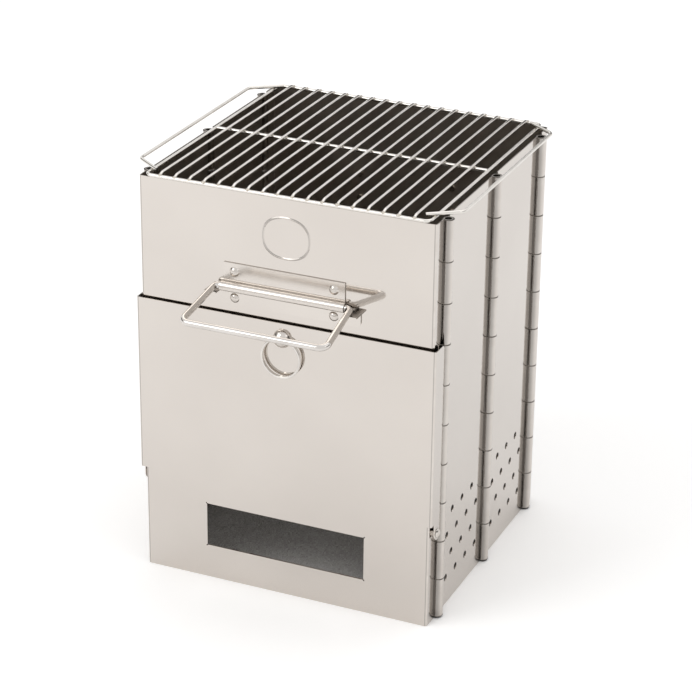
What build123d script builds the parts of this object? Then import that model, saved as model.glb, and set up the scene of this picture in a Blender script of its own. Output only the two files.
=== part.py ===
from build123d import *
import os
from math import atan2, cos, pi, radians, sin, sqrt, tan

# Folding wood stove of thin stainless sheet, in millimetres.
# X runs across the front, Y from the front to the rear, Z up. The origin is on the ground,
# in the middle of the box.

# Box
box_width = 262.0            # outside, across the front
box_depth = 256.0            # outside, front wall to rear wall
box_height = 360.0
sheet = 0.8                  # sheet of the walls, the side panels and the door
fold_radius = 2.0            # outside radius of the folded corners
flange_depth = 21.0          # from a wall's outside face to its hinge line

# Rolled hinges
knuckle_radius = 4.8         # outside radius of a rolled knuckle
knuckle_count = 10           # knuckles along one hinge line, shared by its two leaves
knuckle_gap = 0.4            # between two neighbouring knuckles
knuckle_foot = 1.5           # lowest knuckle's height over the ground, and the drop at the top
hinge_offset = 1.0           # hinge line outside the outer faces
hinge_clearance = 0.06       # radial play of a turning knuckle on its pin
leaf_clearance = 0.6         # from a knuckle to the other leaf's edge
pin_wall = 1.0               # the pins are tubes

# Air holes in the side panels
air_hole_radius = 3.2
air_hole_pitch = 22.4        # along a row
air_row_pitch = 20.3         # from row to row
air_row_height = 26.0        # lowest row over the ground
air_rows = (4, 3, 4, 3)      # holes in each row, from the lowest up

# Openings in the front wall
air_opening_width = 146.0
air_opening_height = 40.0
air_opening_base = 31.0
hem_width = 6.0              # the opening's edges are folded back behind the sheet
relief_length = 2.6          # diagonal relief cut at each corner
relief_width = 1.0
fuel_opening_side = 23.0     # from the box's side to the fuel opening
fuel_opening_lap = 10.8      # the door laps over the opening's lower and upper edges
fuel_opening_radius = 6.0

# Fuel door
door_base = 95.6
door_height = 157.6
door_gap = 2.7               # between the door and the front wall
door_side_gap = 2.6          # between the door's flanges and the wall's flanges
door_barrel_gap = 0.2        # from the door's flanges to the front barrels
door_corner_radius = 6.0
pivot_drop = 10.6            # pivot line below the door's lower edge
ear_radius = 6.0
pivot_radius = 2.0
pivot_shoulder_radius = 3.2
pivot_head_radius = 4.2
pivot_head_height = 2.2
pivot_tail_radius = 3.0
pivot_tail = 1.0
pivot_play = 0.15            # along the pivot, on each side of the ear

# Pull ring and its eye on the door
eye_drop = 12.7              # the eye's centre below the door's upper edge
eye_radius = 8.0
eye_rise = 7.2
eye_rim = 1.2
eye_bore_height = 3.5        # cross hole over the door's face
eye_stem_radius = 2.5
eye_tail_radius = 3.4
eye_tail = 0.9
ring_radius = 17.0           # to the middle of the ring's section
ring_thickness = 2.0
ring_width = 3.2
ring_edge = 0.5
ring_groove = 0.5            # groove between the ring's two turns
ring_play = 0.38             # between the ring and the eye's cross hole

# Handle brackets, one on each wall
bracket_sheet = 1.2
bracket_width = 108.0
bracket_rise = 20.0          # plate's top over the line that a handle turns on
bracket_fall = 16.1          # plate's base under that line
bracket_corner = 4.0
ear_reach = 7.7              # ear past the middle of a handle's arm
barrel_overhang = 1.3        # barrel past the plate, at each end
lip_reach = 10.0             # lip that a handle's arm rests on, out of the wall
lip_inset = 3.1              # lip's inner end from the middle of the arm, towards the plate
rivet_inset = 9.7            # from the plate's side
rivet_rise = 12.6            # upper rivets over the turning line
rivet_fall = 10.4            # lower rivets under it
rivet_radius = 2.0
rivet_head_radius = 4.2
rivet_head_height = 2.3
rivet_tail_radius = 2.8
rivet_tail = 1.4

# Wire handles on the walls
handle_wire = 2.8            # radius
handle_play = 0.08           # radial play in the barrel
handle_end_play = 0.5        # from a barrel's end to the handle's bend
handle_door_gap = 10.1       # from the resting handle to the door's upper edge
handle_arm = 57.4
handle_splay = 3.3           # outer bar's half width over that of the bar in the barrel
handle_droop = 11.6          # rest angle below level, in degrees
handle_inner_bend = 4.5
handle_outer_bend = 7.0
lip_clearance = 0.12

# Grill grate
frame_wire = 1.5             # radius
rod_wire = 1.25              # radius
frame_inset = 6.3            # side wires' middles inside the box's sides
frame_corner = 5.0
rod_count = 18
weld_sink = 0.3              # crossing wires are welded a little into each other
grate_clearance = 0.02       # the grate's wires over the walls' top edges
grip_reach = 12.3            # side handle's outer bar out of the box's side
grip_corner_inset = 26.0     # from the wall's face to the corners of that bar
grip_root_inset = 7.6        # from the wall's face to the handle's welded end
grip_root_lap = 6.7          # welded end past the frame wire
grip_bend = 8.0

# Places worked out from the sizes above
half_width = box_width / 2
half_depth = box_depth / 2
door_top = door_base + door_height
fuel_opening_width = box_width - 2 * fuel_opening_side
fuel_opening_base = door_base + fuel_opening_lap
fuel_opening_top = door_top - fuel_opening_lap
hinge_x = half_width + hinge_offset
wall_hinge_y = half_depth - flange_depth
leaf_cut = knuckle_radius + leaf_clearance
running_bore = knuckle_radius - sheet
pin_radius = running_bore - hinge_clearance
knuckle_pitch = (box_height - 2 * knuckle_foot) / knuckle_count
tab_reach = sqrt(running_bore ** 2 - hinge_offset ** 2) + sheet / 4
barrel_bore = handle_wire + handle_play
barrel_radius = barrel_bore + bracket_sheet
barrel_out = half_depth + barrel_radius
barrel_length = bracket_width + 2 * barrel_overhang
handle_half_width = barrel_length / 2 + handle_end_play + handle_inner_bend
handle_fall = handle_arm * sin(radians(handle_droop))
handle_height = door_top + handle_door_gap + handle_fall + handle_wire
rivet_places = [
    (side * (bracket_width / 2 - rivet_inset), handle_height + up)
    for up in (rivet_rise, -rivet_fall)
    for side in (-1, 1)
]
door_face = half_depth + door_gap + sheet
door_half_width = half_width + door_side_gap + sheet
pivot_y = -wall_hinge_y - knuckle_radius - door_barrel_gap - ear_radius
pivot_z = door_base - pivot_drop
eye_height = door_top - eye_drop
frame_half_width = half_width - frame_inset
grip_half_width = half_width + grip_reach
grip_half_length = half_depth - grip_corner_inset
frame_z = box_height + grate_clearance + frame_wire
frame_half_depth = half_depth - sheet / 2
rod_z = frame_z + frame_wire + rod_wire - weld_sink


def dome_bulge(rim_radius, rise):
    # How far the centre of a dome's sphere lies behind its rim.
    return (rim_radius ** 2 - rise ** 2) / (2 * rise)


def dome_middle(rim_radius, rise):
    # Middle of a dome's profile: its height over the rim and its distance from the axis.
    bulge = dome_bulge(rim_radius, rise)
    half_angle = atan2(rim_radius, bulge) / 2
    return (bulge + rise) * cos(half_angle) - bulge, (bulge + rise) * sin(half_angle)


def knuckle_levels(first):
    # Lower ends of every second knuckle of a hinge line.
    return [knuckle_foot + knuckle_gap / 2 + knuckle_pitch * k for k in range(first, knuckle_count, 2)]


def knuckle_row(side, hinge_y, toward, first, bore):
    # Rolled knuckles on one edge of a leaf, each with the tab that joins it to the sheet.
    # toward is +1 where the leaf lies behind its hinge line and -1 where it lies in front.
    tab_length = leaf_cut - tab_reach + sheet
    tab_y = hinge_y + toward * (tab_reach + tab_length / 2)
    with BuildPart() as row:
        for level in knuckle_levels(first):
            with BuildSketch(Plane.XY.offset(level)):
                with Locations((side * hinge_x, hinge_y)):
                    Circle(knuckle_radius)
                with Locations((side * (half_width - sheet / 2), tab_y)):
                    Rectangle(sheet, tab_length)
                with Locations((side * hinge_x, hinge_y)):
                    Circle(bore, mode=Mode.SUBTRACT)
            extrude(amount=knuckle_pitch - knuckle_gap)
    return row.part


def build_wall(facing):
    # Flat wall with two side flanges folded back and half of each corner's knuckles.
    # facing is -1 for the front wall and +1 for the rear wall.
    middle = half_depth - sheet / 2
    flange_end = wall_hinge_y + leaf_cut
    side_x = half_width - sheet / 2
    with BuildPart() as wall:
        with BuildSketch(Plane.XY):
            with BuildLine():
                FilletPolyline(
                    (side_x, facing * flange_end),
                    (side_x, facing * middle),
                    (-side_x, facing * middle),
                    (-side_x, facing * flange_end),
                    radius=fold_radius - sheet / 2,
                )
            trace(line_width=sheet)
        extrude(amount=box_height)
        for side in (-1, 1):
            add(knuckle_row(side, facing * wall_hinge_y, facing, 0, pin_radius))
        with BuildSketch(Plane.XZ.offset(-facing * half_depth)):
            with Locations(*rivet_places):
                Circle(rivet_radius)
        extrude(amount=2 * sheet, both=True, mode=Mode.SUBTRACT)
    return wall.part


# Rear wall

rear_wall_sheet = build_wall(1)
with BuildPart() as rear_wall:
    add(rear_wall_sheet)

# Front wall, with the fuel opening, the hemmed air opening and the holes for the door's pivots

front_wall_sheet = build_wall(-1)
air_opening_middle = air_opening_base + air_opening_height / 2
fuel_opening_middle = (fuel_opening_base + fuel_opening_top) / 2
with BuildPart() as front_wall:
    add(front_wall_sheet)
    with BuildSketch(Plane.XZ.offset(half_depth - sheet)):
        with Locations((0, air_opening_middle)):
            Rectangle(air_opening_width + 2 * hem_width, air_opening_height + 2 * hem_width)
    extrude(amount=-sheet)
    with BuildSketch(Plane.XZ.offset(half_depth)):
        with Locations((0, air_opening_middle)):
            Rectangle(air_opening_width, air_opening_height)
        with Locations((0, fuel_opening_middle)):
            RectangleRounded(
                fuel_opening_width, fuel_opening_top - fuel_opening_base, fuel_opening_radius
            )
        for across in (-1, 1):
            for up in (-1, 1):
                corner = (across * air_opening_width / 2, air_opening_middle + up * air_opening_height / 2)
                with Locations(Location((corner[0], corner[1], 0), (0, 0, 45 * across * up))):
                    Rectangle(relief_length, relief_width)
    extrude(amount=-3 * sheet, mode=Mode.SUBTRACT)
    with BuildSketch(Plane.YZ):
        with Locations((pivot_y, pivot_z)):
            Circle(pivot_radius)
    extrude(amount=box_width, both=True, mode=Mode.SUBTRACT)


# Side panels: each side is two leaves that meet on the middle hinge


def build_panel(side, facing):
    # facing is -1 for the leaf beside the front wall and +1 for the one beside the rear wall.
    leaf_middle = facing * wall_hinge_y / 2
    leaf_length = wall_hinge_y - 2 * leaf_cut
    middle_first = 0 if facing > 0 else 1
    middle_bore = pin_radius if facing > 0 else running_bore
    with BuildPart() as panel:
        with BuildSketch(Plane.XY):
            with Locations((side * (half_width - sheet / 2), leaf_middle)):
                Rectangle(sheet, leaf_length)
        extrude(amount=box_height)
        add(knuckle_row(side, facing * wall_hinge_y, -facing, 1, running_bore))
        add(knuckle_row(side, 0, facing, middle_first, middle_bore))
        with BuildSketch(Plane.YZ.offset(side * half_width)):
            for row, holes in enumerate(air_rows):
                with Locations((leaf_middle, air_row_height + row * air_row_pitch)):
                    with GridLocations(air_hole_pitch, 1, holes, 1):
                        Circle(air_hole_radius)
        extrude(amount=2 * sheet, both=True, mode=Mode.SUBTRACT)
    return panel.part


side_panels = {}
for side_name, side in (("left", -1), ("right", 1)):
    for end_name, facing in (("front", -1), ("rear", 1)):
        side_panels[side_name + "_" + end_name + "_panel"] = build_panel(side, facing)

# Hinge pins: tubes as long as their row of knuckles

hinge_pins = {}
for side_name, side in (("left", -1), ("right", 1)):
    for line_name, line_y in (("front", -wall_hinge_y), ("middle", 0), ("rear", wall_hinge_y)):
        with BuildPart() as hinge_pin:
            with BuildSketch(Plane.XY.offset(knuckle_foot)):
                with Locations((side * hinge_x, line_y)):
                    Circle(pin_radius)
                    Circle(pin_radius - pin_wall, mode=Mode.SUBTRACT)
            extrude(amount=box_height - 2 * knuckle_foot)
        hinge_pins[side_name + "_" + line_name + "_hinge_pin"] = hinge_pin.part

# Fuel door: a sheet with two side flanges and an ear below each flange

door_side_x = door_half_width - sheet / 2
door_flange_end = pivot_y + ear_radius
with BuildPart() as fuel_door:
    with BuildSketch(Plane.XY.offset(door_base)):
        with BuildLine():
            FilletPolyline(
                (door_side_x, door_flange_end),
                (door_side_x, -door_face + sheet / 2),
                (-door_side_x, -door_face + sheet / 2),
                (-door_side_x, door_flange_end),
                radius=fold_radius - sheet / 2,
            )
        trace(line_width=sheet)
    extrude(amount=door_height)
    rear_edges = fuel_door.edges().filter_by(Axis.X).group_by(Axis.Z)[-1].group_by(Axis.Y)[-1]
    fillet(rear_edges, door_corner_radius)
    for side in (-1, 1):
        with BuildSketch(Plane.YZ.offset(side * door_side_x)):
            with Locations((pivot_y, pivot_z)):
                Circle(ear_radius)
            with Locations((pivot_y, pivot_z + pivot_drop / 2)):
                Rectangle(2 * ear_radius, pivot_drop + sheet)
        extrude(amount=sheet / 2, both=True)
    with BuildSketch(Plane.YZ):
        with Locations((pivot_y, pivot_z)):
            Circle(pivot_radius + hinge_clearance)
    extrude(amount=box_width, both=True, mode=Mode.SUBTRACT)
    with BuildSketch(Plane.XZ.offset(door_face)):
        with Locations((0, eye_height)):
            Circle(eye_stem_radius)
    extrude(amount=-2 * sheet, mode=Mode.SUBTRACT)

# Pivot rivets of the door: tail inside the wall's flange, shoulder, journal and domed head

journal_start = half_width + door_side_gap - pivot_play
journal_end = door_half_width + pivot_play
pivot_dome_height, pivot_dome_radius = dome_middle(pivot_head_radius, pivot_head_height)
pivot_rivets = {}
for side in (-1, 1):
    with BuildPart() as pivot_rivet:
        with BuildSketch(Plane.XY.offset(pivot_z)):
            with BuildLine():
                Polyline(
                    (side * journal_end, pivot_y + pivot_head_radius),
                    (side * journal_end, pivot_y + pivot_radius),
                    (side * journal_start, pivot_y + pivot_radius),
                    (side * journal_start, pivot_y + pivot_shoulder_radius),
                    (side * half_width, pivot_y + pivot_shoulder_radius),
                    (side * half_width, pivot_y + pivot_radius),
                    (side * (half_width - sheet), pivot_y + pivot_radius),
                    (side * (half_width - sheet), pivot_y + pivot_tail_radius),
                    (side * (half_width - sheet - pivot_tail), pivot_y + pivot_tail_radius),
                    (side * (half_width - sheet - pivot_tail), pivot_y),
                    (side * (journal_end + pivot_head_height), pivot_y),
                )
                ThreePointArc(
                    (side * (journal_end + pivot_head_height), pivot_y),
                    (side * (journal_end + pivot_dome_height), pivot_y + pivot_dome_radius),
                    (side * journal_end, pivot_y + pivot_head_radius),
                )
            make_face()
        revolve(axis=Axis((0, pivot_y, pivot_z), (1, 0, 0)))
    pivot_rivets[side] = pivot_rivet.part
with BuildPart() as door_pivot_rivets:
    add(pivot_rivets[-1])
    add(pivot_rivets[1])

# Ring eye: a domed boss riveted through the door, with a cross hole for the ring

eye_dome_height, eye_dome_radius = dome_middle(eye_radius, eye_rise - eye_rim)
eye_bulge = dome_bulge(eye_radius, eye_rise - eye_rim)
eye_half_width = sqrt((eye_bulge + eye_rise - eye_rim) ** 2 - (eye_bulge + eye_bore_height - eye_rim) ** 2)
ring_sag = ring_radius - sqrt(ring_radius ** 2 - eye_half_width ** 2)
eye_bore_radius = sqrt((ring_thickness + ring_sag) ** 2 + ring_width ** 2) / 2 + ring_play
with BuildPart() as ring_eye:
    with BuildSketch(Plane.XY.offset(eye_height)):
        with BuildLine():
            Polyline(
                (0, -door_face - eye_rise),
                (0, -door_face + sheet + eye_tail),
                (eye_tail_radius, -door_face + sheet + eye_tail),
                (eye_tail_radius, -door_face + sheet),
                (eye_stem_radius, -door_face + sheet),
                (eye_stem_radius, -door_face),
                (eye_radius, -door_face),
                (eye_radius, -door_face - eye_rim),
            )
            ThreePointArc(
                (eye_radius, -door_face - eye_rim),
                (eye_dome_radius, -door_face - eye_rim - eye_dome_height),
                (0, -door_face - eye_rise),
            )
        make_face()
    revolve(axis=Axis((0, 0, eye_height), (0, 1, 0)))
    with BuildSketch(Plane.YZ):
        with Locations((-door_face - eye_bore_height, eye_height)):
            Circle(eye_bore_radius)
    extrude(amount=2 * eye_radius, both=True, mode=Mode.SUBTRACT)

# Pull ring: two flat turns side by side, hanging in the eye

ring_y = -door_face - eye_bore_height
ring_z = eye_height + ring_sag / 2 - ring_radius
with BuildPart() as pull_ring:
    with BuildSketch(Plane.XY.offset(ring_z)):
        with Locations((ring_radius, ring_y)):
            RectangleRounded(ring_thickness, ring_width, ring_edge)
        with Locations((ring_radius + ring_thickness / 2, ring_y)):
            Rectangle(ring_groove, ring_groove, rotation=45, mode=Mode.SUBTRACT)
    revolve(axis=Axis((0, ring_y, ring_z), (0, 1, 0)))

# Handle brackets, their rivets and the wire handles: the same on the front and the rear wall

lip_tip_arm = lip_reach - barrel_radius
lip_top = (
    handle_height
    - lip_tip_arm * tan(radians(handle_droop))
    - handle_wire / cos(radians(handle_droop))
    - lip_clearance
)
lip_start = handle_half_width - lip_inset
lip_length = ear_reach + lip_inset
bracket_top = handle_height + bracket_rise
bracket_base = handle_height - bracket_fall


def build_bracket(facing):
    # Riveted plate with a rolled barrel across it, and a lip on each ear.
    # Plane.XZ looks out of the front, so a depth along it is measured the other way at the rear.
    out = -facing
    with BuildPart() as bracket:
        with BuildSketch(Plane.XZ.offset(out * half_depth)):
            with Locations((0, (bracket_top + lip_top) / 2)):
                Rectangle(bracket_width, bracket_top - lip_top)
            with Locations((0, (lip_top + bracket_base) / 2)):
                Rectangle(2 * (lip_start + lip_length), lip_top - bracket_base)
        extrude(amount=out * bracket_sheet)
        ear_corners = bracket.edges().filter_by(Axis.Y).group_by(Axis.Z)[0]
        fillet(ear_corners, bracket_corner)
        with BuildSketch(Plane.YZ.offset(-barrel_length / 2)):
            with Locations((facing * barrel_out, handle_height)):
                Circle(barrel_radius)
        extrude(amount=barrel_length)
        with BuildSketch(Plane.YZ.offset(-barrel_length)):
            with Locations((facing * barrel_out, handle_height)):
                Circle(barrel_bore)
        extrude(amount=2 * barrel_length, mode=Mode.SUBTRACT)
        with BuildSketch(Plane.XY.offset(lip_top)):
            for side in (-1, 1):
                with Locations((side * (lip_start + lip_length / 2), facing * (half_depth + lip_reach / 2))):
                    Rectangle(lip_length, lip_reach)
        extrude(amount=-bracket_sheet)
        with BuildSketch(Plane.XZ.offset(out * half_depth)):
            with Locations(*rivet_places):
                Circle(rivet_radius)
        extrude(amount=out * 2 * bracket_sheet, mode=Mode.SUBTRACT)
    return bracket.part


def build_rivet(facing):
    # Domed head outside the bracket, shank through both sheets, tail inside the wall.
    head_face = half_depth + bracket_sheet
    inside = half_depth - sheet
    dome_height, dome_radius = dome_middle(rivet_head_radius, rivet_head_height)
    with BuildPart() as rivet:
        with BuildSketch(Plane.XY):
            with BuildLine():
                Polyline(
                    (rivet_head_radius, facing * head_face),
                    (rivet_radius, facing * head_face),
                    (rivet_radius, facing * inside),
                    (rivet_tail_radius, facing * inside),
                    (rivet_tail_radius, facing * (inside - rivet_tail)),
                    (0, facing * (inside - rivet_tail)),
                    (0, facing * (head_face + rivet_head_height)),
                )
                ThreePointArc(
                    (0, facing * (head_face + rivet_head_height)),
                    (dome_radius, facing * (head_face + dome_height)),
                    (rivet_head_radius, facing * head_face),
                )
            make_face()
        revolve(axis=Axis.Y)
    return rivet.part


def build_rivets(facing):
    # The bracket's four rivets.
    one_rivet = build_rivet(facing)
    with BuildPart() as rivets:
        with Locations(*[(across, 0, up) for across, up in rivet_places]):
            add(one_rivet)
    return rivets.part


def wire_loop(plane, low_half, high_half, low, high, low_bend, high_bend, wire_radius):
    # Closed loop of round wire: a low and a high bar along the plane's X, joined by two arms.
    splay = atan2(high_half - low_half, high - low)
    low_cut = low_bend * tan((pi / 2 - splay) / 2)
    high_cut = high_bend * tan((pi / 2 + splay) / 2)
    low_end = low_half - low_cut
    high_end = high_half - high_cut
    root_x = low_half + low_cut * sin(splay)
    root_y = low + low_cut * cos(splay)
    turn_x = high_half - high_cut * sin(splay)
    turn_y = high - high_cut * cos(splay)
    with BuildPart() as loop:
        with BuildLine(plane):
            low_bar = Line((-low_end, low), (low_end, low))
            right_root = TangentArc(low_bar @ 1, (root_x, root_y), tangent=low_bar % 1)
            right_arm = Line(right_root @ 1, (turn_x, turn_y))
            right_turn = TangentArc(right_arm @ 1, (high_end, high), tangent=right_arm % 1)
            high_bar = Line(right_turn @ 1, (-high_end, high))
            left_turn = TangentArc(high_bar @ 1, (-turn_x, turn_y), tangent=high_bar % 1)
            left_arm = Line(left_turn @ 1, (-root_x, root_y))
            TangentArc(left_arm @ 1, low_bar @ 0, tangent=left_arm % 1)
        with BuildSketch(Plane(origin=low_bar @ 0, z_dir=low_bar % 0)):
            Circle(wire_radius)
        sweep()
    return loop.part


def build_handle(facing):
    # The loop's low bar lies in the barrel, and its arms droop to the lips.
    droop = radians(handle_droop)
    arm_direction = Vector(0, facing * cos(droop), -sin(droop))
    loop_plane = Plane(
        origin=(0, facing * barrel_out, handle_height),
        x_dir=(1, 0, 0),
        z_dir=Vector(1, 0, 0).cross(arm_direction),
    )
    return wire_loop(
        loop_plane,
        handle_half_width,
        handle_half_width + handle_splay,
        0,
        handle_arm,
        handle_inner_bend,
        handle_outer_bend,
        handle_wire,
    )


# Grill grate: a welded frame, a cross wire, the rods and two side handles

frame_length = 2 * frame_half_depth
grate_frame = wire_loop(
    Plane.XY.offset(frame_z),
    frame_half_width,
    frame_half_width,
    -frame_half_depth,
    frame_half_depth,
    frame_corner,
    frame_corner,
    frame_wire,
)

cross_half_length = frame_half_width - frame_wire + weld_sink
with BuildPart() as grate_cross_wire:
    with BuildSketch(Plane(origin=(-cross_half_length, 0, frame_z), z_dir=(1, 0, 0))):
        Circle(frame_wire)
    extrude(amount=2 * cross_half_length)

rod_pitch = 2 * frame_half_width / (rod_count + 1)
with BuildPart() as grate_rods:
    with BuildSketch(Plane.XZ.offset(-frame_half_depth)):
        with Locations((0, rod_z)):
            with GridLocations(rod_pitch, 1, rod_count, 1):
                Circle(rod_wire)
    extrude(amount=frame_length)

grip_z = frame_z + 2 * frame_wire - weld_sink
grip_root_x = frame_half_width - grip_root_lap
grip_root_y = half_depth - grip_root_inset
grips = {}
for side_name, side in (("left", -1), ("right", 1)):
    grip_start = Vector(side * grip_root_x, -grip_root_y, grip_z)
    grip_turn = Vector(side * grip_half_width, -grip_half_length, grip_z)
    with BuildPart() as grip:
        with BuildLine(Plane.XY.offset(grip_z)):
            FilletPolyline(
                (side * grip_root_x, -grip_root_y),
                (side * grip_half_width, -grip_half_length),
                (side * grip_half_width, grip_half_length),
                (side * grip_root_x, grip_root_y),
                radius=grip_bend,
            )
        with BuildSketch(Plane(origin=grip_start, z_dir=grip_turn - grip_start)):
            Circle(frame_wire)
        sweep()
    grips["grate_" + side_name + "_handle"] = grip.part

# Every piece goes to its own file, under the name of its node

pieces = {
    "rear_wall": rear_wall.part,
    "front_wall": front_wall.part,
    "fuel_door": fuel_door.part,
    "door_pivot_rivets": door_pivot_rivets.part,
    "ring_eye": ring_eye.part,
    "pull_ring": pull_ring.part,
    "grate_frame": grate_frame,
    "grate_cross_wire": grate_cross_wire.part,
    "grate_rods": grate_rods.part,
}
pieces.update(side_panels)
pieces.update(hinge_pins)
pieces.update(grips)
for end_name, facing in (("front", -1), ("rear", 1)):
    pieces[end_name + "_bracket"] = build_bracket(facing)
    pieces[end_name + "_bracket_rivets"] = build_rivets(facing)
    pieces[end_name + "_handle"] = build_handle(facing)

os.makedirs("parts", exist_ok=True)
for name, piece in pieces.items():
    piece.label = name
    export_step(piece, "parts/" + name + ".step")
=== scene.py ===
import math
import random

import bmesh
import bpy
from mathutils import Matrix, Vector, noise


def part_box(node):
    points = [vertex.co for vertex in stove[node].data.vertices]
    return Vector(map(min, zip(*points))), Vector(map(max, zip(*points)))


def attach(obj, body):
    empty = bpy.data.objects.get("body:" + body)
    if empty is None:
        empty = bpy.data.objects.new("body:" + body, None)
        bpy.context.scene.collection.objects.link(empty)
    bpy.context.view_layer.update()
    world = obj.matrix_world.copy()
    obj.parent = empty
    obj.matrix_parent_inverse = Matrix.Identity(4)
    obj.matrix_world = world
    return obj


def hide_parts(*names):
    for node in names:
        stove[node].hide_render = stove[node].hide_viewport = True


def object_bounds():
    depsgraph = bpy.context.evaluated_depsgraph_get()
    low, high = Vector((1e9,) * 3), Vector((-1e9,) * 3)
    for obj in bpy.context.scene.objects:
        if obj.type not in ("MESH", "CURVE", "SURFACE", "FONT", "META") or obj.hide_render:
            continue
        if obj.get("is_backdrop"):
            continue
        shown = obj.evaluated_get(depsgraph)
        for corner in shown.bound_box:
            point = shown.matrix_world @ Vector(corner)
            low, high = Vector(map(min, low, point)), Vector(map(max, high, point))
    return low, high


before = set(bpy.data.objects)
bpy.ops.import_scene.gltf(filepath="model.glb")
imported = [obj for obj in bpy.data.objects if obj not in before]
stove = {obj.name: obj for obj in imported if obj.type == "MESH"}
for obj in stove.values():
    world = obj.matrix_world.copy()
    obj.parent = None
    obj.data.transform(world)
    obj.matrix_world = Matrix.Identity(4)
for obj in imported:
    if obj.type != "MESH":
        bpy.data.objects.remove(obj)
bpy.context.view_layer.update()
random.seed(11)

# distances from the stove's middle
hingeX = 0.132
hingeY = 0.107
panelFace = 0.131
wallFace = 0.128
print("stove loaded,", len(stove), "parts")


# Node helpers, in which place is only where a node lies on the sheet

def addNode(tree, kind, place, **settings):
    node = tree.nodes.new(kind)
    node.location = place
    for key, value in settings.items():
        setattr(node, key, value)
    return node


def mathOf(tree, kind, place, first, second):
    # first is a socket, second a socket or a number
    node = addNode(tree, "ShaderNodeMath", place, operation=kind)
    tree.links.new(first, node.inputs[0])
    if isinstance(second, (int, float)):
        node.inputs[1].default_value = second
    else:
        tree.links.new(second, node.inputs[1])
    return node.outputs[0]


def sizeOf(tree, place, value):
    return mathOf(tree, "ABSOLUTE", place, value, 0)


def stretched(tree, vector, place, scale):
    node = addNode(tree, "ShaderNodeVectorMath", place, operation="MULTIPLY")
    node.inputs[1].default_value = scale
    tree.links.new(vector, node.inputs[0])
    return node.outputs[0]


def partsOf(tree, vector, place):
    node = addNode(tree, "ShaderNodeSeparateXYZ", place)
    tree.links.new(vector, node.inputs[0])
    return node.outputs


def noiseOf(tree, vector, place, scale, detail):
    node = addNode(tree, "ShaderNodeTexNoise", place)
    node.inputs["Scale"].default_value = scale
    node.inputs["Detail"].default_value = detail
    tree.links.new(vector, node.inputs["Vector"])
    return node.outputs["Fac"]


def rangeOf(tree, value, place, fromRange, toRange):
    node = addNode(tree, "ShaderNodeMapRange", place)
    for key, number in zip(("From Min", "From Max", "To Min", "To Max"), fromRange + toRange):
        node.inputs[key].default_value = number
    tree.links.new(value, node.inputs["Value"])
    return node.outputs["Result"]


def blendOf(tree, factor, place, first, second, kind="MIX"):
    # first and second are colours, or the sockets of earlier nodes
    node = addNode(tree, "ShaderNodeMix", place, data_type="RGBA", blend_type=kind)
    tree.links.new(factor, node.inputs["Factor"])
    for key, colour in (("A", first), ("B", second)):
        socket = next(s for s in node.inputs if s.name == key and s.type == "RGBA")
        if isinstance(colour, tuple):
            socket.default_value = colour + (1,)
        else:
            tree.links.new(colour, socket)
    return next(s for s in node.outputs if s.type == "RGBA")


def rampOf(tree, value, place, stops):
    # stops are (position, grey) pairs, made in order because a ramp sorts them anew at each change
    node = addNode(tree, "ShaderNodeValToRGB", place)
    points = node.color_ramp.elements
    points[0].position = stops[0][0]
    points[1].position = stops[-1][0]
    for stop in stops[1:-1]:
        points.new(stop[0])
    for point, (_, grey) in zip(points, stops):
        point.color = (grey, grey, grey, 1)
    tree.links.new(value, node.inputs["Fac"])
    return node.outputs["Color"]


def bumpOf(tree, height, place, distance, strength, below=None):
    node = addNode(tree, "ShaderNodeBump", place)
    node.inputs["Distance"].default_value = distance
    node.inputs["Strength"].default_value = strength
    tree.links.new(height, node.inputs["Height"])
    if below is not None:
        tree.links.new(below, node.inputs["Normal"])
    return node.outputs["Normal"]


# Steel finishes

unit = (0, 1)
turnedOver = (1, 0)
noiseSpan = {
    "cloud": (0.35, 0.65),
    "speck": (0.3, 0.7),
    "patch": (0.3, 0.7),
    "line": (0.5, 0.8),
    "mark": (0.58, 0.72),
    "scuff": (0.45, 0.65),
}
patchFineness = 3               # finer than the clouds by this much
shearedSpan = (0.985, 0.999)    # how squarely a sheared edge faces along an axis


def onKnuckleOf(tree, where, look):
    # 1 within a knuckle's reach of the nearest hinge line
    across = sizeOf(tree, (-1300, 1450), where["X"])
    across = mathOf(tree, "SUBTRACT", (-1100, 1450), across, hingeX)
    middle = sizeOf(tree, (-1300, 1300), where["Y"])
    corner = mathOf(tree, "SUBTRACT", (-1100, 1300), middle, hingeY)
    corner = sizeOf(tree, (-900, 1300), corner)
    along = mathOf(tree, "MINIMUM", (-700, 1300), middle, corner)
    flat = addNode(tree, "ShaderNodeCombineXYZ", (-500, 1400))
    tree.links.new(across, flat.inputs[0])
    tree.links.new(along, flat.inputs[1])
    length = addNode(tree, "ShaderNodeVectorMath", (-300, 1400), operation="LENGTH")
    tree.links.new(flat.outputs[0], length.inputs[0])
    fade = (look["knuckle"], look["knuckle"] * look["knuckleFade"])
    return rangeOf(tree, length.outputs["Value"], (-100, 1400), fade, turnedOver)


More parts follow.
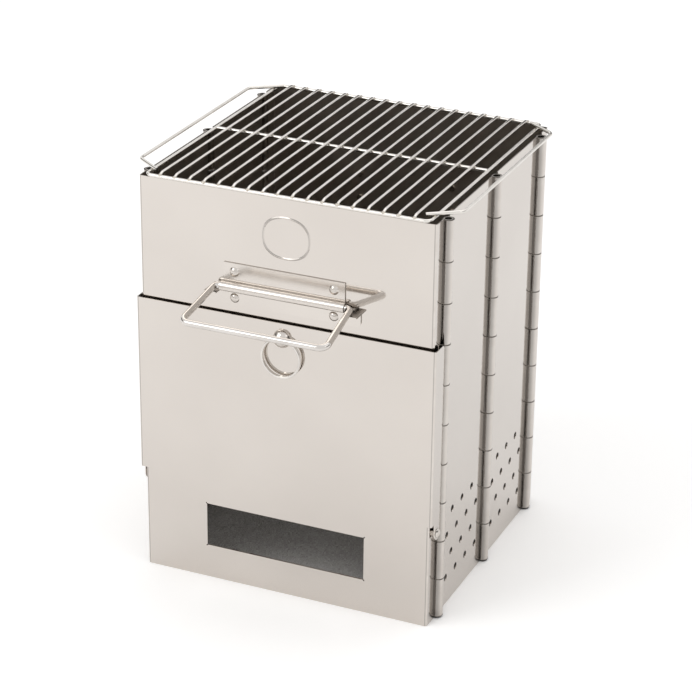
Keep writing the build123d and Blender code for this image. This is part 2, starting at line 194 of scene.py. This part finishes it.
def paintedKnuckleAndBendShade(tree, coords, colour, look):
    # painted shade and reflection: each knuckle gets a dark crease by its leaf and a darker inner
    # side, and each bent corner a dark band, standing in for the dark reflections these rounded
    # faces show
    where = partsOf(tree, coords.outputs["Object"], (-1500, 1500))
    facing = partsOf(tree, coords.outputs["Normal"], (-1500, 1300))
    side = mathOf(tree, "SIGN", (-1300, 1600), where["X"], 0)
    outward = mathOf(tree, "MULTIPLY", (-1100, 1600), facing["X"], side)
    onKnuckle = onKnuckleOf(tree, where, look)

    turned = rangeOf(tree, outward, (-500, 1700), (-1, 1), unit)
    rolled = rampOf(tree, turned, (-300, 1700), look["knuckleShadeTones"])
    bent = sizeOf(tree, (-700, 1100), facing["X"])
    bent = rampOf(tree, bent, (-500, 1100), look["bendShadeTones"])
    tone = blendOf(tree, onKnuckle, (100, 1400), bent, rolled)
    whole = rangeOf(tree, onKnuckle, (100, 1200), unit, (look["bendShadeShare"], 1))
    return blendOf(tree, whole, (300, 1300), colour, tone, "MULTIPLY"), onKnuckle


def innerFace(tree, coords, onKnuckle, look):
    # 1 where flat sheet faces the stove's middle
    outward = stretched(tree, coords.outputs["Object"], (-1500, 2000), look["fromMiddle"])
    facing = addNode(tree, "ShaderNodeVectorMath", (-1300, 2000), operation="DOT_PRODUCT")
    tree.links.new(outward, facing.inputs[0])
    tree.links.new(coords.outputs["Normal"], facing.inputs[1])
    inner = rangeOf(tree, facing.outputs["Value"], (-1100, 2000), look["innerSpan"], unit)
    flatSheet = rangeOf(tree, onKnuckle, (-1100, 1800), unit, turnedOver)
    return mathOf(tree, "MULTIPLY", (-900, 1800), inner, flatSheet)


def makeSteel(name, look):
    material = bpy.data.materials.new(name)
    material.use_nodes = True
    tree = material.node_tree
    shader = tree.nodes["Principled BSDF"]
    shader.inputs["Metallic"].default_value = 1.0
    coords = addNode(tree, "ShaderNodeTexCoord", (-1800, 0))
    where = coords.outputs["Object"]

    # broad clouds in the tone, then a fine speckle
    cloud = noiseOf(tree, where, (-1500, 300), look["cloudScale"], 3)
    cloud = rangeOf(tree, cloud, (-1300, 300), noiseSpan["cloud"], unit)
    colour = blendOf(tree, cloud, (-1000, 300), look["colour"], look["shade"])
    speck = noiseOf(tree, where, (-1500, 0), look["grainScale"], 4)
    speckled = rangeOf(tree, speck, (-1300, 60), noiseSpan["speck"], (0, look["grainTint"]))
    colour = blendOf(tree, speckled, (-800, 300), colour, look["speckle"])

    # roughness: patches, rolling lines and handling marks
    patch = noiseOf(tree, where, (-1500, -300), look["cloudScale"] * patchFineness, 4)
    rough = rangeOf(tree, patch, (-1300, -300), noiseSpan["patch"], look["roughness"])
    drawn = stretched(tree, where, (-1700, -450), look["lineStretch"])
    lines = noiseOf(tree, drawn, (-1500, -450), 1.0, 3)
    lined = rangeOf(tree, lines, (-1300, -450), noiseSpan["line"], (0, look["lineRough"]))
    rough = mathOf(tree, "ADD", (-1000, -350), rough, lined)
    mark = noiseOf(tree, where, (-1500, -600), look["markScale"], 5)
    marked = rangeOf(tree, mark, (-1300, -600), noiseSpan["mark"], (0, look["markRough"]))
    rough = mathOf(tree, "ADD", (-800, -400), rough, marked)

    # sheared edges are duller than the faces
    facing = partsOf(tree, coords.outputs["Normal"], (-1500, 700))
    square = sizeOf(tree, (-1300, 800), facing["Z"])
    if look["sideEdges"]:
        across = sizeOf(tree, (-1300, 650), facing["X"])
        square = mathOf(tree, "MAXIMUM", (-1100, 750), square, across)
    sheared = rangeOf(tree, square, (-900, 750), shearedSpan, (0, look["edgeWear"]))
    colour = blendOf(tree, sheared, (-550, 400), colour, look["edge"])
    sheared = rangeOf(tree, sheared, (-700, 600), unit, (0, look["edgeRough"]))
    rough = mathOf(tree, "ADD", (-550, -300), rough, sheared)

    if "foldWear" in look:
        # stretched folds are scuffed brighter
        fold = mathOf(tree, "MULTIPLY", (-1300, 950), facing["X"], facing["Y"])
        fold = sizeOf(tree, (-1100, 950), fold)
        worn = noiseOf(tree, where, (-1300, 1100), look["scuffScale"], 5)
        worn = rangeOf(tree, worn, (-1100, 1100), noiseSpan["scuff"], (0, look["foldWear"]))
        fold = mathOf(tree, "MULTIPLY", (-900, 1000), fold, worn)
        colour = blendOf(tree, fold, (-400, 400), colour, look["scuff"])
        scuffed = rangeOf(tree, fold, (-550, 900), unit, (0, look["scuffRough"]))
        rough = mathOf(tree, "ADD", (-400, -300), rough, scuffed)
    if "knuckleShadeTones" in look:
        # painted shade and reflection on the knuckles and bent corners
        colour, onKnuckle = paintedKnuckleAndBendShade(tree, coords, colour, look)
        rolled = mathOf(tree, "MULTIPLY", (-500, -200), onKnuckle, look["knuckleRough"])
        rough = mathOf(tree, "ADD", (-300, -250), rough, rolled)

        # painted shade: the fire box's inner faces are coloured darker and browner, as shade
        # inside the box, and made rougher
        inner = innerFace(tree, coords, onKnuckle, look)
        colour = blendOf(tree, inner, (500, 1200), colour, look["inside"])
        innerRoughened = mathOf(tree, "MULTIPLY", (-900, 2000), inner, look["insideRough"])
        rough = mathOf(tree, "ADD", (-200, -300), rough, innerRoughened)
    tree.links.new(colour, shader.inputs["Base Color"])
    tree.links.new(rough, shader.inputs["Roughness"])

    wave = noiseOf(tree, where, (-1500, -900), look["waveScale"], 1)
    normal = bumpOf(tree, wave, (-800, -800), look["waveHeight"], 1.0)
    grain = (look["grainHeight"], look["grainStrength"])
    normal = bumpOf(tree, speck, (-550, -700), *grain, normal)
    tree.links.new(normal, shader.inputs["Normal"])
    return material


plainLook = {
    "shade": (0.606, 0.564, 0.525),
    "cloudScale": 9,
    "speckle": (0.55, 0.51, 0.47),
    "grainScale": 1400,
    "grainTint": 0.12,
    "markScale": 14,
    "markRough": 0.05,
    "edgeRough": 0.28,
    "sideEdges": False,
    "grainHeight": 0.00001,
    "grainStrength": 0.2,
}

sheetLook = dict(plainLook)
sheetLook.update({
    "colour": (0.632, 0.590, 0.550),
    "roughness": (0.035, 0.075),
    "lineStretch": (30, 30, 900),
    "lineRough": 0.03,
    "edge": (0.40, 0.37, 0.34),
    "edgeWear": 0.8,
    "scuff": (0.72, 0.685, 0.645),
    "scuffScale": 90,
    "scuffRough": 0.25,
    "foldWear": 0.9,
    "waveScale": 6,
    "waveHeight": 0.00025,
    # painted shade: darker, browner tone of the fire box's inner faces
    "inside": (0.50, 0.45, 0.40),
    "insideRough": 0.26,
    "innerSpan": (-0.45, -0.8),
    "fromMiddle": (1 / panelFace, 1 / wallFace, 0),
    "knuckle": 0.0051,
    "knuckleFade": 1.06,
    "knuckleRough": 0.06,
    # share of the painted bend shade on flat sheet
    "bendShadeShare": 0.95,
    # painted shade and reflection: tones from a knuckle's inner side, past the dark crease at its
    # leaf, to its outer side
    "knuckleShadeTones": (
        (0.0, 0.95), (0.15, 0.90), (0.32, 0.62), (0.40, 0.28), (0.51, 0.24), (0.535, 0.50),
        (0.69, 0.53), (0.80, 0.66), (0.90, 0.86), (0.975, 0.98),
    ),
    # painted shade and reflection: tones from a wall's face, round its bent corner, to a side face
    "bendShadeTones": (
        (0.02, 1.0), (0.08, 0.62), (0.26, 0.62), (0.52, 1.0), (0.93, 1.0), (0.99, 0.95),
    ),
})
sheetSteel = makeSteel("rolledSheetSteel", sheetLook)

bracketLook = dict(plainLook)
bracketLook.update(
    colour=(0.655, 0.612, 0.57), edge=(0.30, 0.275, 0.25), edgeWear=0.95, sideEdges=True,
    roughness=(0.10, 0.17), lineStretch=(40, 1400, 1400), lineRough=0.06,
    waveScale=16, waveHeight=0.00012,
)
bracketSteel = makeSteel("pressedBracketSteel", bracketLook)

pinLook = dict(bracketLook)
pinLook.update(
    colour=(0.46, 0.43, 0.40), shade=(0.40, 0.37, 0.34), roughness=(0.18, 0.30),
    grainScale=2200, edgeWear=0.5, sideEdges=False, lineStretch=(900, 900, 40),
)
pinSteel = makeSteel("drawnPinSteel", pinLook)

rivetLook = dict(bracketLook)
rivetLook.update(
    colour=(0.64, 0.60, 0.56), shade=(0.56, 0.52, 0.48), cloudScale=160, roughness=(0.09, 0.17),
    lineRough=0.03, edgeWear=0, sideEdges=False, waveScale=260, waveHeight=0.00008,
    grainScale=2600, markScale=300,
)
rivetSteel = makeSteel("headedRivetSteel", rivetLook)

wireLook = dict(bracketLook)
wireLook.update(
    colour=(0.67, 0.64, 0.61), shade=(0.60, 0.57, 0.54), cloudScale=60, roughness=(0.06, 0.13),
    lineRough=0.03, edgeWear=0, sideEdges=False, waveScale=120, waveHeight=0.00004,
    grainScale=2600, markScale=120,
)
handleSteel = makeSteel("drawnHandleWire", wireLook)

platedLook = dict(wireLook)
platedLook.update(colour=(0.79, 0.76, 0.72), shade=(0.72, 0.69, 0.645), roughness=(0.07, 0.15))
platedWire = makeSteel("platedGrateWire", platedLook)

ringLook = dict(wireLook)
ringLook.update(colour=(0.70, 0.67, 0.63), roughness=(0.04, 0.09))
ringSteel = makeSteel("springRingSteel", ringLook)

weldLook = dict(platedLook)
weldLook.update(
    colour=(0.62, 0.58, 0.52), shade=(0.46, 0.41, 0.35), cloudScale=900,
    roughness=(0.22, 0.40), waveScale=900, waveHeight=0.00015, markScale=900,
)
weldSteel = makeSteel("weldBeadSteel", weldLook)

# painted shade: the burrs' dark colour stands in for the shade in the joints between knuckles
shadedBurrLook = dict(bracketLook)
shadedBurrLook.update(
    colour=(0.30, 0.275, 0.25), shade=(0.20, 0.18, 0.16), cloudScale=120, roughness=(0.22, 0.38),
)
shadedBurrSteel = makeSteel("burrSteelWithPaintedShade", shadedBurrLook)

finishes = {
    # steel: how the names of its parts start or end
    sheetSteel: ("rear_wall", "front_wall", "fuel_door", "_panel"),
    bracketSteel: ("_bracket",),
    pinSteel: ("_hinge_pin",),
    rivetSteel: ("_rivets", "ring_eye"),
    handleSteel: ("front_handle", "rear_handle"),
    ringSteel: ("pull_ring",),
    platedWire: ("grate_",),
}
for nodeName, part in stove.items():
    for steel, words in finishes.items():
        if any(nodeName.endswith(word) or nodeName.startswith(word) for word in words):
            for materialSlot in part.material_slots:
                materialSlot.material = steel
print("steel finishes given to every part")


# Mesh helpers

def pieceFrom(name, mesh, material, body):
    data = bpy.data.meshes.new(name)
    mesh.to_mesh(data)
    mesh.free()
    for face in data.polygons:
        face.use_smooth = True
    piece = bpy.data.objects.new(name, data)
    bpy.context.collection.objects.link(piece)
    data.materials.append(material)
    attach(piece, body)
    return piece


def sweepLoop(mesh, path, outline):
    # path is a closed row of (point, sideways, upward), outline (sideways, upward) pairs
    rows = []
    for point, sideways, upward in path:
        rows.append([mesh.verts.new(point + sideways * a + upward * b) for a, b in outline])
    for k, row in enumerate(rows):
        after = rows[(k + 1) % len(rows)]
        for j in range(len(outline) - 1):
            mesh.faces.new((row[j], row[j + 1], after[j + 1], after[j]))


# Grate rods, with ends pressed down on the frame where they are welded

grateRod = {
    "rods": 18,
    "radius": 0.00125,
    "sides": 14,
    "dip": 0.0012,
    "dipLength": 0.0045,
    "bow": 0.00022,
    "bowNoise": (3.7, 9, 0),       # from rod to rod, along a rod, layer
    "stray": 0.0002,
    "strayNoise": (5.1, 12, 4),
    "steps": 16,
    # distance from the end, share of the radius
    "roundEnd": (
        (0.0, 0.55), (0.0003, 0.86), (0.0008, 1.0), (0.002, 1.0), (0.0032, 1.0), (0.0045, 1.0),
    ),
    "frameWire": 0.0015,
}
frameLow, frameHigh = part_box("grate_frame")
rodLow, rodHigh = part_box("grate_rods")
frameHalfWidth = frameHigh.x - grateRod["frameWire"]
frameHalfLength = frameHigh.y - grateRod["frameWire"]
rodPitch = 2 * frameHalfWidth / (grateRod["rods"] + 1)
rodPlaces = [(k - (grateRod["rods"] - 1) / 2) * rodPitch for k in range(grateRod["rods"])]
rodHeight = rodHigh.z - grateRod["radius"]


def rodNoise(rod, along, scales):
    betweenRods, alongRod, layer = scales
    return noise.noise(Vector((rod * betweenRods, along * alongRod, layer)))


def addRod(mesh, across, rod):
    look = grateRod
    start, end = rodLow.y, rodHigh.y
    rings = [(start + step, size) for step, size in look["roundEnd"]]
    span = end - start - 2 * look["dipLength"]
    for k in range(1, look["steps"]):
        rings.append((start + look["dipLength"] + span * k / look["steps"], 1.0))
    rings += [(end - step, size) for step, size in reversed(look["roundEnd"])]
    rows = []
    for along, size in rings:
        fromEnd = min(along - start, end - along) / look["dipLength"]
        level = rodHeight - look["dip"] * (1 + math.cos(math.pi * min(1, fromEnd))) / 2
        level += look["bow"] * rodNoise(rod, along, look["bowNoise"])
        middle = across + look["stray"] * rodNoise(rod, along, look["strayNoise"])
        reach = look["radius"] * size
        row = []
        for j in range(look["sides"]):
            angle = 2 * math.pi * j / look["sides"]
            outX, outZ = reach * math.cos(angle), reach * math.sin(angle)
            row.append(mesh.verts.new((middle + outX, along, level + outZ)))
        rows.append(row)
    sides = look["sides"]
    for row, after in zip(rows, rows[1:]):
        for j in range(sides):
            mesh.faces.new((row[j], row[(j + 1) % sides], after[(j + 1) % sides], after[j]))
    mesh.faces.new(rows[0])
    mesh.faces.new(reversed(rows[-1]))


mesh = bmesh.new()
for rod, across in enumerate(rodPlaces):
    addRod(mesh, across, rod)
bmesh.ops.recalc_face_normals(mesh, faces=mesh.faces)
rods = pieceFrom("grate_drawn_rods", mesh, platedWire, "grate")
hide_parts("grate_rods")
print("grate rods done")


# Weld beads where the grate's wires cross

weldBead = {
    "size": (0.0021, 0.0021, 0.0009),
    "growth": (0.85, 1.1),
    "uneven": 0.22,
    "lumps": 1.4,
    "spread": 900,
    "sink": 0.00015,    # bead's middle under the frame wire's top
}
weldHeight = frameHigh.z - weldBead["sink"]
mesh = bmesh.new()
for across in rodPlaces:
    for along in (-frameHalfLength, 0, frameHalfLength):
        middle = Vector((across, along, weldHeight))
        grown = random.uniform(*weldBead["growth"])
        bead = bmesh.ops.create_icosphere(mesh, subdivisions=2, radius=1.0)["verts"]
        for vertex in bead:
            lump = noise.noise(vertex.co * weldBead["lumps"] + middle * weldBead["spread"])
            wobble = 1 + weldBead["uneven"] * lump
            sizes = zip(vertex.co, weldBead["size"])
            vertex.co = middle + Vector([c * s * wobble * grown for c, s in sizes])
pieceFrom("grate_weld_beads", mesh, weldSteel, "grate")
print("weld beads done")


# Burrs on the cut ends of the rolled knuckles, coloured dark as painted shade in the joints
# between knuckles

knuckleBurr = {
    "knuckles": 10,
    "pitch": 0.0357,
    "foot": 0.0015,
    "gap": 0.0004,
    "barrel": 0.0048,
    "turns": 28,
    "uneven": 0.0002,
    "lumps": 2.3,
    "spread": (50, 50, 90),
    "outline": (
        (-0.0004, 0), (0.00022, 0), (0.00022, 0.00015), (0.00011, 0.00035), (-0.0001, 0.0005),
    ),
}


def addBurr(mesh, middle, level, upward):
    # upward is 1 on a knuckle's lower end and -1 on its upper end
    look = knuckleBurr
    spread = Vector([a * b for a, b in zip((middle.x, middle.y, level), look["spread"])])
    path = []
    for k in range(look["turns"]):
        angle = 2 * math.pi * k / look["turns"]
        out = Vector((math.cos(angle), math.sin(angle), 0))
        lump = noise.noise(out * look["lumps"] + spread)
        radius = look["barrel"] + look["uneven"] * max(0, lump)
        point = Vector((middle.x, middle.y, level)) + out * radius
        path.append((point, out, Vector((0, 0, upward))))
    sweepLoop(mesh, path, look["outline"])


knuckleOwners = {
    # hinge line: (body with the lowest knuckle, the other body)
    (1, -hingeY): ("front_wall", "right_front_panel"),
    (1, 0.0): ("right_rear_panel", "right_front_panel"),
    (1, hingeY): ("rear_wall", "right_rear_panel"),
    (-1, -hingeY): ("front_wall", "left_front_panel"),
    (-1, 0.0): ("left_rear_panel", "left_front_panel"),
    (-1, hingeY): ("rear_wall", "left_rear_panel"),
}
burrs = {}
for (side, lineY), owners in knuckleOwners.items():
    middle = Vector((side * hingeX, lineY, 0))
    for k in range(knuckleBurr["knuckles"]):
        body = owners[k % 2]
        if body not in burrs:
            burrs[body] = bmesh.new()
        low = knuckleBurr["foot"] + knuckleBurr["pitch"] * k + knuckleBurr["gap"] / 2
        high = low + knuckleBurr["pitch"] - knuckleBurr["gap"]
        addBurr(burrs[body], middle, low, 1)
        addBurr(burrs[body], middle, high, -1)
for body, mesh in burrs.items():
    bmesh.ops.recalc_face_normals(mesh, faces=mesh.faces)
    pieceFrom(body + "_knuckle_burrs", mesh, shadedBurrSteel, body)
print("knuckle burrs done")


# Plain embossed oval on the upper front

embossedOval = {
    "x": 0.0015,
    "z": 0.3265,
    "halfWidth": 0.0205,
    "halfHeight": 0.0175,
    "fullness": 0.85,     # 1 for a true ellipse, less for fuller corners
    "ridge": 0.0011,
    "rise": 0.00045,
    "crest": 1.5,
    "sink": 0.00003,
    "points": 96,
    "sectionSteps": 12,
}


def fuller(share):
    return math.copysign(abs(share) ** embossedOval["fullness"], share)


mesh = bmesh.new()
path = []
halfWidth, halfHeight = embossedOval["halfWidth"], embossedOval["halfHeight"]
for k in range(embossedOval["points"]):
    angle = 2 * math.pi * k / embossedOval["points"]
    across = halfWidth * fuller(math.cos(angle))
    up = halfHeight * fuller(math.sin(angle))
    out = Vector((math.cos(angle) / halfWidth, 0, math.sin(angle) / halfHeight))
    point = Vector((embossedOval["x"] + across, -wallFace, embossedOval["z"] + up))
    path.append((point, out.normalized(), Vector((0, -1, 0))))
section = []
for k in range(embossedOval["sectionSteps"] + 1):
    t = k / embossedOval["sectionSteps"]
    swell = embossedOval["rise"] * math.sin(math.pi * t) ** embossedOval["crest"]
    section.append(((t - 0.5) * 2 * embossedOval["ridge"], swell - embossedOval["sink"]))
sweepLoop(mesh, path, section)
bmesh.ops.recalc_face_normals(mesh, faces=mesh.faces)
pieceFrom("front_embossed_oval", mesh, sheetSteel, "front_wall")
print("embossed oval done")


# Floor, cards, lamps, world and camera

def seenDirectly(tree, place):
    # 1 for camera, glossy and transmission rays
    path = addNode(tree, "ShaderNodeLightPath", place)
    total = path.outputs["Is Camera Ray"]
    for k, key in enumerate(("Is Glossy Ray", "Is Transmission Ray")):
        spot = (place[0] + 200 * (k + 1), place[1])
        total = mathOf(tree, "MAXIMUM", spot, total, path.outputs[key])
    return total


def flatMaterial(name, shaderKind):
    material = bpy.data.materials.new(name)
    material.use_nodes = True
    tree = material.node_tree
    tree.nodes.clear()
    shader = addNode(tree, shaderKind, (0, 0))
    end = addNode(tree, "ShaderNodeOutputMaterial", (300, 0))
    tree.links.new(shader.outputs[0], end.inputs["Surface"])
    return material, tree, shader


def stagePlane(name, corners, material):
    mesh = bmesh.new()
    mesh.faces.new([mesh.verts.new(corner) for corner in corners])
    data = bpy.data.meshes.new(name)
    mesh.to_mesh(data)
    mesh.free()
    data.materials.append(material)
    plane = bpy.data.objects.new(name, data)
    bpy.context.collection.objects.link(plane)
    plane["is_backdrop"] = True
    return plane


floorLook = {
    "half": 15.0,
    "shown": (1.20, 1.195, 1.19),     # to the camera and in the steel
    "lit": (0.82, 0.815, 0.80),       # for the light that it sends back
    "walledInGroundShade": (0.13, 0.125, 0.12),    # painted shade on the floor where the ground is walled in on all sides, under the fire
    "reach": 0.4,
    "samples": 8,
    "walledIn": (0.18, 0.42),
}
floorMaterial, tree, floorShader = flatMaterial("paleFloor", "ShaderNodeBsdfDiffuse")
direct = seenDirectly(tree, (-1400, 0))
floorTone = blendOf(tree, direct, (-700, 0), floorLook["lit"], floorLook["shown"])
# painted shade: ambient occlusion darkens the floor where the stove walls it in
openness = addNode(
    tree, "ShaderNodeAmbientOcclusion", (-1000, 300), samples=floorLook["samples"],
)
openness.inputs["Distance"].default_value = floorLook["reach"]
openSky = rangeOf(tree, openness.outputs["AO"], (-700, 300), floorLook["walledIn"], unit)
floorTone = blendOf(tree, openSky, (-300, 100), floorLook["walledInGroundShade"], floorTone)
tree.links.new(floorTone, floorShader.inputs["Color"])
half = floorLook["half"]
floorCorners = [(-half, -half, 0), (half, -half, 0), (half, half, 0), (-half, half, 0)]
stagePlane("floor", floorCorners, floorMaterial)

cardLook = {
    "tone": (0.16, 0.155, 0.15),
    "distance": 2.6,
    "low": 0.55,
    "high": 1.5,
    # degrees round the stove, from straight ahead of its front
    "spans": {"leftCard": (250, 290), "rightCard": (70, 110), "backCard": (160, 200)},
}
cardMaterial, tree, cardShader = flatMaterial("greyCard", "ShaderNodeEmission")
cardShader.inputs["Color"].default_value = cardLook["tone"] + (1,)
for name, angles in cardLook["spans"].items():
    ends = []
    for angle in angles:
        turn = math.radians(angle)
        reach = cardLook["distance"]
        ends.append((reach * math.sin(turn), -reach * math.cos(turn)))
    (x0, y0), (x1, y1) = ends
    low, high = cardLook["low"], cardLook["high"]
    cardCorners = [(x0, y0, low), (x1, y1, low), (x1, y1, high), (x0, y0, high)]
    card = stagePlane(name, cardCorners, cardMaterial)
    # the cards are seen in the gloss of the steel only
    card.visible_camera = False
    card.visible_diffuse = False
    card.visible_shadow = False
    card.visible_transmission = False

worldStrength = (0.78, 1.0)     # as light, and as seen directly
world = bpy.data.worlds.new("whiteRoom")
bpy.context.scene.world = world
world.use_nodes = True
tree = world.node_tree
backdrop = tree.nodes["Background"]
backdrop.inputs["Color"].default_value = (1, 1, 1, 1)
level = rangeOf(tree, seenDirectly(tree, (-1000, 0)), (-300, 0), unit, worldStrength)
tree.links.new(level, backdrop.inputs["Strength"])

lamps = {
    # name: (place, size, level)
    "windowLamp": ((-1.7, -2.0, 2.1), 1.8, 2.1),
    "sideLamp": ((2.4, -0.5, 1.9), 1.6, 0.5),
    "topLamp": ((0.2, 0.9, 2.6), 1.8, 0.6),
}
lampAim = Vector((0, 0, 0.18))
for name, (place, size, strength) in lamps.items():
    lampData = bpy.data.lights.new(name, "AREA")
    lampData.shape = "SQUARE"
    lampData.size = size
    lampData.energy = strength * math.pi * size * size
    lamp = bpy.data.objects.new(name, lampData)
    lamp.location = place
    lamp.rotation_euler = (lampAim - Vector(place)).to_track_quat("-Z", "Y").to_euler()
    bpy.context.collection.objects.link(lamp)

bpy.context.scene.view_settings.view_transform = "Standard"

cameraLook = {
    "azimuth": 23.611,
    "elevation": 24.214,
    "roll": 0.01111,
    "place": (0.77325, -1.77142, 1.04932),
    "lens": 126.90,
    "sensor": 36,
}
a, e = math.radians(cameraLook["azimuth"]), math.radians(cameraLook["elevation"])
back = Vector((math.sin(a) * math.cos(e), -math.cos(a) * math.cos(e), math.sin(e)))
right = Vector((math.cos(a), math.sin(a), 0))
up = back.cross(right)
c, s = math.cos(cameraLook["roll"]), math.sin(cameraLook["roll"])
turned = Matrix((c * right + s * up, c * up - s * right, back)).transposed()
cameraData = bpy.data.cameras.new("camera")
cameraData.lens = cameraLook["lens"]
cameraData.sensor_width = cameraLook["sensor"]
camera = bpy.data.objects.new("camera", cameraData)
camera.matrix_world = Matrix.Translation(cameraLook["place"]) @ turned.to_4x4()
bpy.context.collection.objects.link(camera)
bpy.context.scene.camera = camera
print("floor, lamps and camera done")

low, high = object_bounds()
